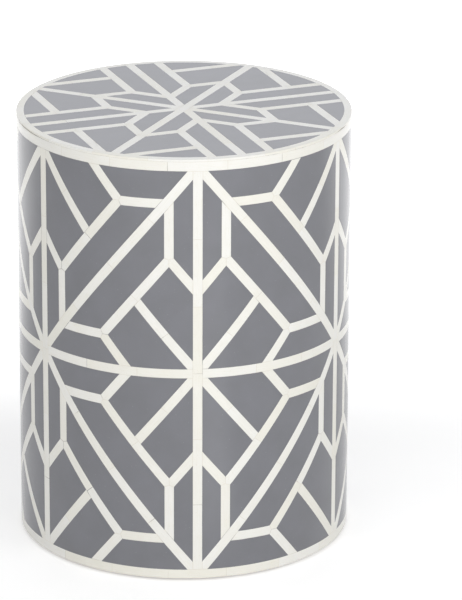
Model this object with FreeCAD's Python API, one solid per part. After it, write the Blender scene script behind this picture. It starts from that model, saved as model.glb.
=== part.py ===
import FreeCAD, Part

import math
import os

# A drum side table: a wooden carcass under a thin flush skin of bone strips and cast resin fields.
# Millimetres and degrees, +Z up. The origin is on the floor, under the middle of the drum. The front is -Y.

# Overall size, over the glides and the inlay
TABLE_DIAMETER = 350.0
TABLE_HEIGHT = 460.0

# Inlay: bone strips and resin fields of one thickness
INLAY_THICKNESS = 2.5
BONE_WIDTH = 9.8
BONE_LENGTH = 75.0
GLUE_LINE = 0.25
TOP_RIM_WIDTH = 8.0
TOP_RIM_EASING = 0.8
RIM_BONE_COUNT = 18
TOP_RIM_ANGLE = 3.4
SIDE_RIM_ANGLE = 10.0

# Star and hexagon pattern round the side, offsets between centrelines
SIDE_REPEATS = 3
SIDE_UPRIGHT_OFFSET = 29.3
SIDE_LEVEL_FROM_RIM = 39.5
SIDE_LEVEL_FROM_MIDDLE = 36.0
SIDE_RIM_HALF_WIDTH = 38.0
SIDE_MIDDLE_HALF_WIDTH = 40.5

# The same pattern on the top: its next star centre lies a little outside the rim
TOP_STAR_BEYOND_RIM = 16.3
TOP_END_OFFSET = 29.6
TOP_HEXAGON_HALF_WIDTH = 31.3
TOP_PATTERN_ANGLE = 60.8

# Carcass under the inlay
SHELL_THICKNESS = 9.0
SHELL_SEAM = 0.3
BOARD_THICKNESS = 18.0
BOARD_FIT = 0.2
BATTEN_COUNT = 6
BATTEN_WIDTH = 36.0
BATTEN_DEPTH = 22.0
HOUSING_DEPTH = 6.0
RING_THICKNESS = 18.0
RING_WIDTH = 46.0

# Fasteners in the carcass
SCREW_DIAMETER = 4.0
SCREW_HEAD_DIAMETER = 8.0
BOARD_SCREW_LENGTH = 50.0
RING_SCREW_LENGTH = 38.0
RING_SCREW_SINK = 1.0
BRAD_DIAMETER = 1.6
BRAD_LENGTH = 25.0
BRAD_SINK = 0.4
BRAD_FROM_SEAM = 9.0
BRAD_ROWS = 4
BRAD_END_DISTANCE = 60.0

# Glides nailed under the base
GLIDE_COUNT = 4
GLIDE_HEIGHT = 3.0
GLIDE_DIAMETER = 24.0
GLIDE_EASING = 1.0
GLIDE_CIRCLE_RADIUS = 132.0
GLIDE_ANGLE = 45.0
NAIL_DIAMETER = 2.0
NAIL_HEAD_DIAMETER = 5.0
NAIL_LENGTH = 15.0
NAIL_SINK = 0.6

# Places worked out from the sizes above
AXIS = FreeCAD.Vector(0, 0, 1)
FRONT_ANGLE = -90.0
OUTER_RADIUS = TABLE_DIAMETER / 2
SHELL_OUTER_RADIUS = OUTER_RADIUS - INLAY_THICKNESS
SHELL_INNER_RADIUS = SHELL_OUTER_RADIUS - SHELL_THICKNESS
BOARD_RADIUS = SHELL_INNER_RADIUS - BOARD_FIT
BATTEN_INNER_RADIUS = BOARD_RADIUS - BATTEN_DEPTH
BATTEN_MIDDLE_RADIUS = BOARD_RADIUS - BATTEN_DEPTH / 2
RING_INNER_RADIUS = BOARD_RADIUS - RING_WIDTH
TOP_FIELD_RADIUS = OUTER_RADIUS - TOP_RIM_WIDTH
DRUM_BOTTOM = GLIDE_HEIGHT
SIDE_TOP = TABLE_HEIGHT - INLAY_THICKNESS
LOWER_RIM_MIDDLE = DRUM_BOTTOM + BONE_WIDTH / 2
UPPER_RIM_MIDDLE = SIDE_TOP - BONE_WIDTH / 2
SIDE_MIDDLE = (LOWER_RIM_MIDDLE + UPPER_RIM_MIDDLE) / 2
SIDE_CELL_HEIGHT = UPPER_RIM_MIDDLE - SIDE_MIDDLE
SIDE_CELL_COUNT = 2 * SIDE_REPEATS
SIDE_CELL_WIDTH = math.pi * TABLE_DIAMETER / SIDE_CELL_COUNT
TOP_CELL = TOP_FIELD_RADIUS + TOP_STAR_BEYOND_RIM
TOP_QUARTERS = 4
HALF_BONE = BONE_WIDTH / 2
SMALLEST_AREA = HALF_BONE * HALF_BONE / 4


def flat(x, y):
    """Point or direction in the flat layout of the pattern."""
    return FreeCAD.Vector(x, y, 0)


def clip(outline, point, normal, margin):
    """Part of a convex outline that lies at least margin from a line, on its normal's side."""
    unit = FreeCAD.Vector(normal).normalize()
    kept = []
    for start, end in zip(outline, outline[1:] + outline[:1]):
        start_depth = (start - point).dot(unit) - margin
        end_depth = (end - point).dot(unit) - margin
        if start_depth >= 0:
            kept.append(start)
        if start_depth * end_depth < 0:
            kept.append(start + (end - start) * (start_depth / (start_depth - end_depth)))
    return kept


def area(outline):
    """Signed area of a flat outline, positive when it runs anticlockwise."""
    pairs = zip(outline, outline[1:] + outline[:1])
    return sum(start.x * end.y - start.y * end.x for start, end in pairs) / 2


def crossing(point, direction, other_point, other_direction):
    """Point where two lines of the layout cross."""
    gap = other_point - point
    scale = gap.cross(other_direction).z / direction.cross(other_direction).z
    return point + direction * scale


class Strip:
    """A bone strip of the layout: its centreline from start to end."""

    def __init__(self, start, end):
        self.start = start
        self.end = end
        self.along = (end - start).normalize()
        self.across = flat(-self.along.y, self.along.x)
        self.outline = self.band(start - self.along * BONE_WIDTH, end + self.along * BONE_WIDTH)

    def band(self, start, end):
        """Rectangle of the bone's width round a stretch of the centreline."""
        side = self.across * HALF_BONE
        return [start - side, end - side, end + side, start + side]

    def towards(self, place):
        """Direction across the strip, to the side that a place lies on."""
        return self.across if (place - self.start).dot(self.across) > 0 else -self.across

    def butt(self, other):
        """End the strip against the edge of another strip, a glue line away."""
        far_end = max(self.start, self.end, key=lambda end: abs((end - other.start).dot(other.across)))
        self.outline = clip(self.outline, other.start, other.towards(far_end), HALF_BONE + GLUE_LINE)

    def mitre(self, node, others):
        """Point the strip at a node where it meets other strips, half a glue line from each."""
        own = self.leaving(node)
        for other in others:
            self.outline = clip(self.outline, node, own - other.leaving(node), GLUE_LINE / 2)

    def leaving(self, node):
        """Direction in which the strip leaves a node at one of its ends."""
        return self.along if (self.start - node).Length < (self.end - node).Length else -self.along

    def keep_inside(self, frame):
        """Trim the strip a glue line inside a rectangle, given by its lowest and highest corners."""
        for corner, sign in zip(frame, (1, -1)):
            self.outline = clip(self.outline, corner, flat(sign, 0), GLUE_LINE)
            self.outline = clip(self.outline, corner, flat(0, sign), GLUE_LINE)

    def bones(self):
        """Outlines of the equal bone pieces that make up the strip, with glue lines between."""
        places = [(point - self.start).dot(self.along) for point in self.outline]
        first = min(places)
        count = math.ceil((max(places) - first) / BONE_LENGTH)
        step = (max(places) - first) / count
        cut = [self.start + self.along * (first + step * index) for index in range(count + 1)]
        pieces = []
        for index in range(count):
            piece = self.outline
            if index > 0:
                piece = clip(piece, cut[index], self.along, GLUE_LINE / 2)
            if index < count - 1:
                piece = clip(piece, cut[index + 1], -self.along, GLUE_LINE / 2)
            pieces.append(piece)
        return pieces


def resin_field(frame, inside, strips):
    """Outline of the resin round a place, bounded by a rectangle and the near edges of strips."""
    low, high = frame
    outline = [low, flat(high.x, low.y), high, flat(low.x, high.y)]
    for strip in strips:
        outline = clip(outline, strip.start, strip.towards(inside), HALF_BONE)
    return outline


def middle_of(*points):
    """Mean of several points."""
    total = flat(0, 0)
    for point in points:
        total = total + point
    return total / len(points)


def half_cell(width, height, upright_offset, level_offset, half_width):
    """Bones and resin fields on the upper left side of a cell's main diagonal.

    The main diagonal runs from the lower left corner, on a vertical and the middle band, to the
    upper right corner, on the next vertical and the rim. Beside it lies one half of a long hexagon:
    a side parallel to the diagonal, a level end near the rim and an upright end near the vertical.
    A link carries each end of that side to the frame, and a short diagonal joins it to the corner.
    """
    corner = flat(0, height)
    main = Strip(flat(0, 0), flat(width, height))
    falling = flat(width, -height).normalize()
    side_point = main.start + main.across * half_width
    upright_low = crossing(main.start, main.along, flat(upright_offset, 0), flat(0, 1))
    upright_high = crossing(side_point, main.along, flat(upright_offset, 0), flat(0, 1))
    level_height = height - level_offset
    level_left = crossing(side_point, main.along, flat(0, level_height), flat(1, 0))
    level_right = crossing(main.start, main.along, flat(0, level_height), flat(1, 0))
    rim_end = crossing(level_left, falling, corner, flat(1, 0))
    vertical_end = crossing(upright_high, falling, flat(0, 0), flat(0, 1))
    side_foot = crossing(corner, falling, side_point, main.along)

    side = Strip(upright_high, level_left)
    upright = Strip(upright_high, upright_low)
    level = Strip(level_left, level_right)
    rim_link = Strip(level_left, rim_end)
    vertical_link = Strip(upright_high, vertical_end)
    short = Strip(corner, side_foot)

    side.mitre(upright_high, [upright, vertical_link])
    side.mitre(level_left, [level, rim_link])
    upright.mitre(upright_high, [side, vertical_link])
    vertical_link.mitre(upright_high, [side, upright])
    level.mitre(level_left, [side, rim_link])
    rim_link.mitre(level_left, [side, level])
    upright.butt(main)
    level.butt(main)
    short.butt(side)
    frame = (flat(HALF_BONE, HALF_BONE), flat(width - HALF_BONE, height - HALF_BONE))
    for strip in (main, rim_link, vertical_link, short):
        strip.keep_inside(frame)

    ends = middle_of(upright_low, upright_high, level_left, level_right)
    fields = {
        "hexagon_resin": (ends, [main, side, upright, level]),
        "arrow_resin": (middle_of(main.start, upright_low, upright_high, vertical_end),
                        [main, upright, vertical_link]),
        "trapezoid_resin": (middle_of(main.end, level_right, level_left, rim_end),
                            [main, level, rim_link]),
        "rim_kite_resin": (middle_of(corner, side_foot, level_left, rim_end),
                           [side, rim_link, short]),
        "upright_kite_resin": (middle_of(corner, side_foot, upright_high, vertical_end),
                               [side, vertical_link, short]),
    }
    outlines = {
        "diagonal_bones": main.bones(),
        "hexagon_side_bones": side.bones(),
        "hexagon_upright_bones": upright.bones(),
        "hexagon_level_bones": level.bones(),
        "link_bones": rim_link.bones() + vertical_link.bones(),
        "short_diagonal_bones": short.bones(),
    }
    for name, (inside, strips) in fields.items():
        outlines[name] = [resin_field(frame, inside, strips)]
    return outlines


def cell(width, height, upright_offset, level_offsets, half_widths):
    """Outlines of a whole cell: its rim half, and its middle half, which looks turned half round.

    The level offsets and the half widths of the hexagon are those of the rim half, then the middle half.
    """
    halves = zip(level_offsets, half_widths)
    outlines, lower = [half_cell(width, height, upright_offset, *sizes) for sizes in halves]
    far_corner = flat(width, height)
    for name, shapes in lower.items():
        if name != "diagonal_bones":
            outlines[name] += [[far_corner - point for point in shape] for shape in shapes]
    return outlines


def edges_on(surface, corners):
    """Edges of a closed outline drawn on a surface, between corners in its own parameters."""
    pairs = zip(corners, corners[1:] + corners[:1])
    return [Part.Geom2d.Line2dSegment(start, end).toShape(surface) for start, end in pairs]


def wrapped_plate(outline):
    """Inlay piece on the side: the outline gives arc lengths from the front, and heights."""
    if area(outline) < 0:
        outline = outline[::-1]
    front = math.radians(FRONT_ANGLE)
    corners = [FreeCAD.Base.Vector2d(point.x / OUTER_RADIUS + front, point.y) for point in outline]
    outer = Part.Cylinder()
    outer.Radius = OUTER_RADIUS
    inner = Part.Cylinder()
    inner.Radius = SHELL_OUTER_RADIUS
    outer_edges = edges_on(outer, corners)
    inner_edges = edges_on(inner, corners)
    faces = [Part.Face(outer, Part.Wire(outer_edges)), Part.Face(inner, Part.Wire(inner_edges))]
    faces += [Part.makeRuledSurface(first, second) for first, second in zip(outer_edges, inner_edges)]
    shell = Part.Shell(faces)
    shell.sewShape()
    return Part.Solid(shell)


def laid_plates(outline, radius):
    """Inlay pieces on the top: the outline extruded, as far as it lies inside a radius."""
    lifted = [point + AXIS * SIDE_TOP for point in outline]
    plate = Part.Face(Part.makePolygon(lifted + lifted[:1])).extrude(AXIS * INLAY_THICKNESS)
    limit = Part.makeCylinder(radius, INLAY_THICKNESS, AXIS * SIDE_TOP)
    return plate.common(limit).Solids


def rectangle(low_x, low_y, high_x, high_y):
    """Upright rectangle of the layout."""
    return [flat(low_x, low_y), flat(high_x, low_y), flat(high_x, high_y), flat(low_x, high_y)]


def side_rim(bottom):
    """Band of bones round the side, from a height up."""
    step = math.tau * OUTER_RADIUS / RIM_BONE_COUNT
    begin = math.radians(SIDE_RIM_ANGLE) * OUTER_RADIUS
    bones = []
    for index in range(RIM_BONE_COUNT):
        left = begin + step * index + GLUE_LINE / 2
        right = begin + step * (index + 1) - GLUE_LINE / 2
        bones.append(wrapped_plate(rectangle(left, bottom, right, bottom + BONE_WIDTH)))
    return bones


def side_frame():
    """Verticals from rim to rim, and the middle band between them."""
    low = DRUM_BOTTOM + BONE_WIDTH + GLUE_LINE
    high = SIDE_TOP - BONE_WIDTH - GLUE_LINE
    clear = HALF_BONE + GLUE_LINE
    verticals = []
    bands = []
    for index in range(SIDE_CELL_COUNT):
        place = SIDE_CELL_WIDTH * index
        upright = Strip(flat(place, low), flat(place, high))
        upright.outline = upright.band(upright.start, upright.end)
        band = Strip(flat(place + clear, SIDE_MIDDLE), flat(place + SIDE_CELL_WIDTH - clear, SIDE_MIDDLE))
        band.outline = band.band(band.start, band.end)
        verticals += [wrapped_plate(bone) for bone in upright.bones()]
        bands += [wrapped_plate(bone) for bone in band.bones()]
    return {"vertical_bones": verticals, "middle_band_bones": bands}


def side_cells():
    """Cells between the verticals, in two rows, each the mirror image of its neighbours.

    The main diagonals meet at the rims on the front vertical and every second one, and at the
    middle band on the others.
    """
    outlines = cell(SIDE_CELL_WIDTH, SIDE_CELL_HEIGHT, SIDE_UPRIGHT_OFFSET,
                    (SIDE_LEVEL_FROM_RIM, SIDE_LEVEL_FROM_MIDDLE),
                    (SIDE_RIM_HALF_WIDTH, SIDE_MIDDLE_HALF_WIDTH))
    groups = {name: [] for name in outlines}
    for column in range(SIDE_CELL_COUNT):
        runs_right = column % 2 == 1
        corner = SIDE_CELL_WIDTH * (column if runs_right else column + 1)
        turn = 1 if runs_right else -1
        for row in (1, -1):
            for name, shapes in outlines.items():
                for shape in shapes:
                    placed = [flat(corner + turn * p.x, SIDE_MIDDLE + row * p.y) for p in shape]
                    groups[name].append(wrapped_plate(placed))
    return groups


def side_inlay():
    """All inlay groups on the side of the drum."""
    groups = {
        "upper_rim_bones": side_rim(SIDE_TOP - BONE_WIDTH),
        "lower_rim_bones": side_rim(DRUM_BOTTOM),
    }
    groups.update(side_frame())
    groups.update(side_cells())
    return {f"side_{name}": solids for name, solids in groups.items()}


def top_rim():
    """Ring of bones round the top, over the side's upper band, with its outer edge eased."""
    eased_radius = OUTER_RADIUS - TOP_RIM_EASING
    eased_height = TABLE_HEIGHT - TOP_RIM_EASING
    diagonal = TOP_RIM_EASING * math.sqrt(0.5)
    corners = [
        FreeCAD.Vector(TOP_FIELD_RADIUS, 0, SIDE_TOP),
        FreeCAD.Vector(OUTER_RADIUS, 0, SIDE_TOP),
        FreeCAD.Vector(OUTER_RADIUS, 0, eased_height),
        FreeCAD.Vector(eased_radius + diagonal, 0, eased_height + diagonal),
        FreeCAD.Vector(eased_radius, 0, TABLE_HEIGHT),
        FreeCAD.Vector(TOP_FIELD_RADIUS, 0, TABLE_HEIGHT),
    ]
    edges = [
        Part.makeLine(corners[0], corners[1]),
        Part.makeLine(corners[1], corners[2]),
        Part.Arc(corners[2], corners[3], corners[4]).toShape(),
        Part.makeLine(corners[4], corners[5]),
        Part.makeLine(corners[5], corners[0]),
    ]
    section = Part.Face(Part.Wire(edges))
    step = 360 / RIM_BONE_COUNT
    gap = math.degrees(GLUE_LINE / OUTER_RADIUS)
    bone = section.revolve(FreeCAD.Vector(), AXIS, step - gap)
    return [turned(bone, FRONT_ANGLE + TOP_RIM_ANGLE + step * index) for index in range(RIM_BONE_COUNT)]


def top_spokes():
    """Four spokes on the axes of the top's star: one pair runs through, the other butts on it."""
    through = Strip(flat(-TOP_FIELD_RADIUS, 0), flat(TOP_FIELD_RADIUS, 0))
    spokes = through.bones()
    for sign in (1, -1):
        spoke = Strip(flat(0, 0), flat(0, sign * TOP_FIELD_RADIUS))
        spoke.butt(through)
        spokes += spoke.bones()
    return spokes


def top_inlay():
    """All inlay groups on the top of the drum."""
    outlines = cell(TOP_CELL, TOP_CELL, TOP_END_OFFSET, (TOP_END_OFFSET, TOP_END_OFFSET),
                    (TOP_HEXAGON_HALF_WIDTH, TOP_HEXAGON_HALF_WIDTH))
    quarter_turns = [TOP_PATTERN_ANGLE + 360 / TOP_QUARTERS * index for index in range(TOP_QUARTERS)]
    groups = {"top_rim_bones": top_rim()}
    groups["top_spoke_bones"] = laid_group(top_spokes(), "bones", [TOP_PATTERN_ANGLE])
    for name, shapes in outlines.items():
        solids = laid_group(shapes, name, quarter_turns)
        if solids:
            groups[f"top_{name}"] = solids
    return groups


def laid_group(outlines, name, turns):
    """Flat inlay pieces inside the rim, repeated at several turns. Bones keep a glue line to it."""
    radius = TOP_FIELD_RADIUS - (GLUE_LINE if name.endswith("bones") else 0)
    solids = []
    for outline in outlines:
        for plate in laid_plates(outline, radius):
            if plate.Volume > SMALLEST_AREA * INLAY_THICKNESS:
                solids += [turned(plate, turn) for turn in turns]
    return solids


def turned(shape, angle):
    """Copy of a shape turned about the drum's axis."""
    copy = shape.copy()
    copy.rotate(FreeCAD.Vector(), AXIS, angle)
    return copy


def spun(points):
    """Solid of revolution about Z from a closed outline of radii and heights."""
    corners = [FreeCAD.Vector(radius, 0, height) for radius, height in points]
    return Part.Face(Part.makePolygon(corners + corners[:1])).revolve(FreeCAD.Vector(), AXIS, 360)


def disc(radius, bottom, thickness):
    """Round plate on the drum's axis."""
    return Part.makeCylinder(radius, thickness, AXIS * bottom)


def pin(diameter, head_diameter, length):
    """Countersunk screw or nail along -Z: head flush at the origin, pointed end below."""
    radius = diameter / 2
    head_radius = head_diameter / 2
    neck = radius - head_radius
    return spun([(0, 0), (head_radius, 0), (radius, neck), (radius, diameter - length), (0, -length)])


def rod(diameter, length):
    """Plain round rod along -Z from the origin."""
    return Part.makeCylinder(diameter / 2, length, AXIS * -length)


def lying(shape, radius, height, angle, outwards):
    """Copy of a pin along -Z, laid along a radius of the drum, with its head at a radius and height."""
    copy = shape.copy()
    copy.rotate(FreeCAD.Vector(), FreeCAD.Vector(0, 1, 0), -90 if outwards else 90)
    copy.translate(FreeCAD.Vector(radius, 0, height))
    return turned(copy, angle)


def standing(shape, radius, height, angle, upwards):
    """Copy of a pin along -Z at a radius and height, pointing down, or up when upwards."""
    copy = shape.copy()
    if upwards:
        copy.rotate(FreeCAD.Vector(), FreeCAD.Vector(1, 0, 0), 180)
    copy.translate(FreeCAD.Vector(radius, 0, height))
    return turned(copy, angle)


def without(shape, tools):
    """Shape with the room for several pieces cut out."""
    return shape.cut(Part.makeCompound(tools))


def batten_angles():
    """Directions of the battens, the first at the front."""
    return [FRONT_ANGLE + 360 / BATTEN_COUNT * index for index in range(BATTEN_COUNT)]


def battens():
    """Upright battens: straight bars, planed round on the outside, housed in both boards."""
    bottom = DRUM_BOTTOM + BOARD_THICKNESS - HOUSING_DEPTH
    top = SIDE_TOP - BOARD_THICKNESS + HOUSING_DEPTH
    bar = Part.makeBox(OUTER_RADIUS, BATTEN_WIDTH, top - bottom,
                       FreeCAD.Vector(BATTEN_INNER_RADIUS, -BATTEN_WIDTH / 2, bottom))
    bar = bar.common(disc(BOARD_RADIUS, bottom, top - bottom))
    return [turned(bar, angle) for angle in batten_angles()]


def shell_panels():
    """Bent panels of the drum's wall, with their seams on the battens."""
    sweep = 360 / BATTEN_COUNT - math.degrees(SHELL_SEAM / SHELL_OUTER_RADIUS)
    height = SIDE_TOP - DRUM_BOTTOM
    base = AXIS * DRUM_BOTTOM
    wall = Part.makeCylinder(SHELL_OUTER_RADIUS, height, base, AXIS, sweep)
    wall = wall.cut(Part.makeCylinder(SHELL_INNER_RADIUS, height, base, AXIS))
    seam_turn = (360 / BATTEN_COUNT - sweep) / 2
    return [turned(wall, angle + seam_turn) for angle in batten_angles()]


def panel_brads(diameter, length, head_radius):
    """Rods through the panels into the battens, in a row on each side of every seam."""
    rows = [DRUM_BOTTOM + BRAD_END_DISTANCE, SIDE_TOP - BRAD_END_DISTANCE]
    spacing = (rows[1] - rows[0]) / (BRAD_ROWS - 1)
    from_seam = math.degrees(BRAD_FROM_SEAM / SHELL_OUTER_RADIUS)
    rods = []
    for angle in batten_angles():
        for side in (-from_seam, from_seam):
            for index in range(BRAD_ROWS):
                height = rows[0] + spacing * index
                rods.append(lying(rod(diameter, length), head_radius, height, angle + side, False))
    return rods


def carcass():
    """Boards, ring, battens, panels and the fasteners between them."""
    board_screw = pin(SCREW_DIAMETER, SCREW_HEAD_DIAMETER, BOARD_SCREW_LENGTH)
    ring_screw = pin(SCREW_DIAMETER, SCREW_HEAD_DIAMETER, RING_SCREW_LENGTH)
    ring_head_radius = RING_INNER_RADIUS + RING_SCREW_SINK
    top_screws = []
    base_screws = []
    ring_screws = []
    ring_bores = []
    for angle in batten_angles():
        top_screws.append(standing(board_screw, BATTEN_MIDDLE_RADIUS, SIDE_TOP, angle, False))
        base_screws.append(standing(board_screw, BATTEN_MIDDLE_RADIUS, DRUM_BOTTOM, angle, True))
        ring_screws.append(lying(ring_screw, ring_head_radius, SIDE_MIDDLE, angle, True))
        bore = rod(SCREW_HEAD_DIAMETER, SCREW_HEAD_DIAMETER)
        ring_bores.append(lying(bore, ring_head_radius, SIDE_MIDDLE, angle, False))
    brads = panel_brads(BRAD_DIAMETER, BRAD_LENGTH, SHELL_OUTER_RADIUS - BRAD_SINK)
    brad_holes = panel_brads(BRAD_DIAMETER, BRAD_LENGTH + BRAD_SINK + BRAD_DIAMETER,
                             SHELL_OUTER_RADIUS + BRAD_DIAMETER)
    bars = battens()
    nails = glide_nails()

    top_board = disc(BOARD_RADIUS, SIDE_TOP - BOARD_THICKNESS, BOARD_THICKNESS)
    base_board = disc(BOARD_RADIUS, DRUM_BOTTOM, BOARD_THICKNESS)
    ring_bottom = SIDE_MIDDLE - RING_THICKNESS / 2
    ring = disc(BOARD_RADIUS, ring_bottom, RING_THICKNESS)
    ring = ring.cut(disc(RING_INNER_RADIUS, ring_bottom, RING_THICKNESS))
    nodes = {
        "top_board": [without(top_board, bars + top_screws)],
        "base_board": [without(base_board, bars + base_screws + nails)],
        "middle_ring": [without(ring, bars + ring_screws + ring_bores)],
    }
    for number, bar in enumerate(bars, 1):
        nodes[f"batten_{number}"] = [without(bar, top_screws + base_screws + ring_screws + brads)]
    for number, panel in enumerate(shell_panels(), 1):
        nodes[f"shell_panel_{number}"] = [without(panel, brad_holes)]
    nodes["top_board_screws"] = top_screws
    nodes["base_board_screws"] = base_screws
    nodes["middle_ring_screws"] = ring_screws
    nodes["panel_brads"] = brads
    return nodes


def glide_angles():
    """Directions of the glides."""
    return [GLIDE_ANGLE + 360 / GLIDE_COUNT * index for index in range(GLIDE_COUNT)]


def glide_nails():
    """Nails that hold the glides, their heads sunk into them from below."""
    nail = pin(NAIL_DIAMETER, NAIL_HEAD_DIAMETER, NAIL_LENGTH)
    return [standing(nail, GLIDE_CIRCLE_RADIUS, NAIL_SINK, angle, True) for angle in glide_angles()]


def glides():
    """Round glides under the base, with eased lower edges and a sunk hole for the nail."""
    radius = GLIDE_DIAMETER / 2
    body = spun([(0, 0), (radius - GLIDE_EASING, 0), (radius, GLIDE_EASING), (radius, GLIDE_HEIGHT),
                 (0, GLIDE_HEIGHT)])
    bore = Part.makeCylinder(NAIL_HEAD_DIAMETER / 2, NAIL_SINK)
    nails = glide_nails()
    nodes = {}
    for number, angle in enumerate(glide_angles(), 1):
        glide = standing(body.cut(bore), GLIDE_CIRCLE_RADIUS, 0, angle, False)
        nodes[f"glide_{number}"] = [without(glide, nails)]
    nodes["glide_nails"] = nails
    return nodes


def export(nodes):
    """Write each node to a file of its own."""
    os.makedirs("parts", exist_ok=True)
    for name, solids in nodes.items():
        shape = solids[0] if len(solids) == 1 else Part.makeCompound(solids)
        shape.exportStep(f"parts/{name}.step")


export({**carcass(), **glides(), **side_inlay(), **top_inlay()})
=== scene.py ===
"""Looks of a drum side table: polished bone strips and cast resin fields on a wooden carcass.

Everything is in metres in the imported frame: +Z up, the table's front towards -Y. The inlay is rebuilt as
smooth pieces, whose outlines are read from the frame. The carcass keeps its solids and gets finishes.
"""

import logging
import math
from abc import ABC, abstractmethod
from collections.abc import Iterator
from dataclasses import dataclass, field, replace
from enum import Enum, IntEnum
from typing import ClassVar

import bpy
import numpy as np
from bpy.types import ID, Material, Node, NodeSocket, NodeTree, Object
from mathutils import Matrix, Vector
from mathutils.geometry import convex_hull_2d
from numpy.random import Generator


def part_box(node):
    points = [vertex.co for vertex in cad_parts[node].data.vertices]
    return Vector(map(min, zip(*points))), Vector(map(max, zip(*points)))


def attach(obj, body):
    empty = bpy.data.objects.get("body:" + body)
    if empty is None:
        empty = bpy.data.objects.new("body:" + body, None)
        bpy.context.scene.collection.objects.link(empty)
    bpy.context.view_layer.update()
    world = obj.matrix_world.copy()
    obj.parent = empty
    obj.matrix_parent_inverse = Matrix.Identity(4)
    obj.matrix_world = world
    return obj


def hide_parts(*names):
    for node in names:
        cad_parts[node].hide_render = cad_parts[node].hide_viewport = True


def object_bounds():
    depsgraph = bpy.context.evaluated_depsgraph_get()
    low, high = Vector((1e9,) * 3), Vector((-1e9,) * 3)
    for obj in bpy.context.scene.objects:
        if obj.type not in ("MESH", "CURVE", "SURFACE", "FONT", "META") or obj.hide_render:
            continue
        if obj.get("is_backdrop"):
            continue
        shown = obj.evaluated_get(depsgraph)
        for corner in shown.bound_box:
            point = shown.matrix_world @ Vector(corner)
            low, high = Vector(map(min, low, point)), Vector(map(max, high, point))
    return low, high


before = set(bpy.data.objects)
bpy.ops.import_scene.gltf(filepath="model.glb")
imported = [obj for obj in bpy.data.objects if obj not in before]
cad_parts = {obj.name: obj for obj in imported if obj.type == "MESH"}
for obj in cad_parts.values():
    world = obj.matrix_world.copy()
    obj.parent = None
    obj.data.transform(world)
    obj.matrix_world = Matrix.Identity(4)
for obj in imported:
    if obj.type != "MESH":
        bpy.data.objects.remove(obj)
CAD_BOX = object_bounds()

MM = 0.001
# Points nearer than this count as one
WELD = 0.001 * MM
# Corners that stand out by less than this are none, and places are sorted to as many decimals
STRAIGHT = 0.01 * MM
SORT_DECIMALS = 5
# What a strip's mesh carries for its finish: places along its grain, and its own shade
GRAIN_NAME = "grain"
SHADE_NAME = "piece"
IMAGE_WIDTH = 462
IMAGE_HEIGHT = 600
BODY = "root"

Array = np.ndarray
Feeds = dict[str | int, object]


class Stuff(Enum):
    """What an inlay piece is made of, by its slot in the record."""

    BONE = "bone"
    RESIN = "resin"

    @classmethod
    def of(cls, node_name: str) -> "Stuff":
        """Stuff of an inlay node, told by the end of its name."""
        return cls.RESIN if node_name.endswith(cls.RESIN.value) else cls.BONE


class Coat(IntEnum):
    """Which of its piece's finishes a face takes."""

    FACE = 0
    JOINT = 1
    SEAM = 2


# Normals on a band's lower and upper ring, at each edge's start and end, and the band's coat
Band = tuple[Array, Array, Coat]


def linear(hex_colour: str) -> tuple[float, float, float, float]:
    """Turn an sRGB hex colour into linear light, by the standard sRGB curve.

    Args:
        hex_colour: Colour as #RRGGBB.

    Returns:
        Red, green, blue and an alpha of 1.
    """
    srgb = np.array([int(hex_colour[at:at + 2], 16) for at in (1, 3, 5)]) / 255
    light = np.where(srgb <= 0.04045, srgb / 12.92, ((srgb + 0.055) / 1.055) ** 2.4)
    return (*light.tolist(), 1.0)


def feed(tree: NodeTree, node: Node, feeds: Feeds) -> None:
    """Set or link inputs of a shader node.

    Args:
        tree: Node tree that holds the node.
        node: The node.
        feeds: Input's name or number, to a constant or to the output socket that is linked to it.
    """
    for socket, value in feeds.items():
        if isinstance(value, NodeSocket):
            tree.links.new(value, node.inputs[socket])
        else:
            node.inputs[socket].default_value = value


def add_node(tree: NodeTree, kind: str, feeds: Feeds | None = None,
             **settings: object) -> Node:
    """Add one shader node with its settings and links.

    Args:
        tree: Node tree that gets the node.
        kind: Type of the node, without the ShaderNode in front.
        feeds: What its inputs are set or linked to.
        settings: Properties of the node.

    Returns:
        The new node.
    """
    made = tree.nodes.new("ShaderNode" + kind)
    for name, value in settings.items():
        setattr(made, name, value)
    feed(tree, made, feeds or {})
    return made


def add_object(name: str, data: ID) -> Object:
    """Add an object to the scene, at the origin.

    Args:
        name: Name of the object.
        data: Its mesh, light or camera.

    Returns:
        The object.
    """
    made = bpy.data.objects.new(name, data)
    bpy.context.scene.collection.objects.link(made)
    return made


@dataclass(frozen=True)
class Ramp:
    """A ramp from a low to a high level, held level before its start and after its end.

    The start and end given here are those of plain noise, which seldom leaves them.
    """

    start: float = 0.3
    end: float = 0.7
    low: float = 0.0
    high: float = 1.0

    def feeds(self, value: NodeSocket) -> Feeds:
        """Inputs of a Map Range node that puts a value on the ramp."""
        return {"Value": value, "From Min": self.start, "From Max": self.end,
                "To Min": self.low, "To Max": self.high}


class Texture(Enum):
    """What a pattern is drawn with, by the kind of its node."""

    NOISE = "TexNoise"
    CELLS = "TexVoronoi"


@dataclass(frozen=True)
class PieceShade:
    """A number from 0 to 1 that each strip has of its own, the same all over it."""

    def add(self, tree: NodeTree) -> NodeSocket:
        """Socket of the number, read from the mesh's attribute."""
        return add_node(tree, "Attribute", attribute_name=SHADE_NAME).outputs["Fac"]


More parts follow.
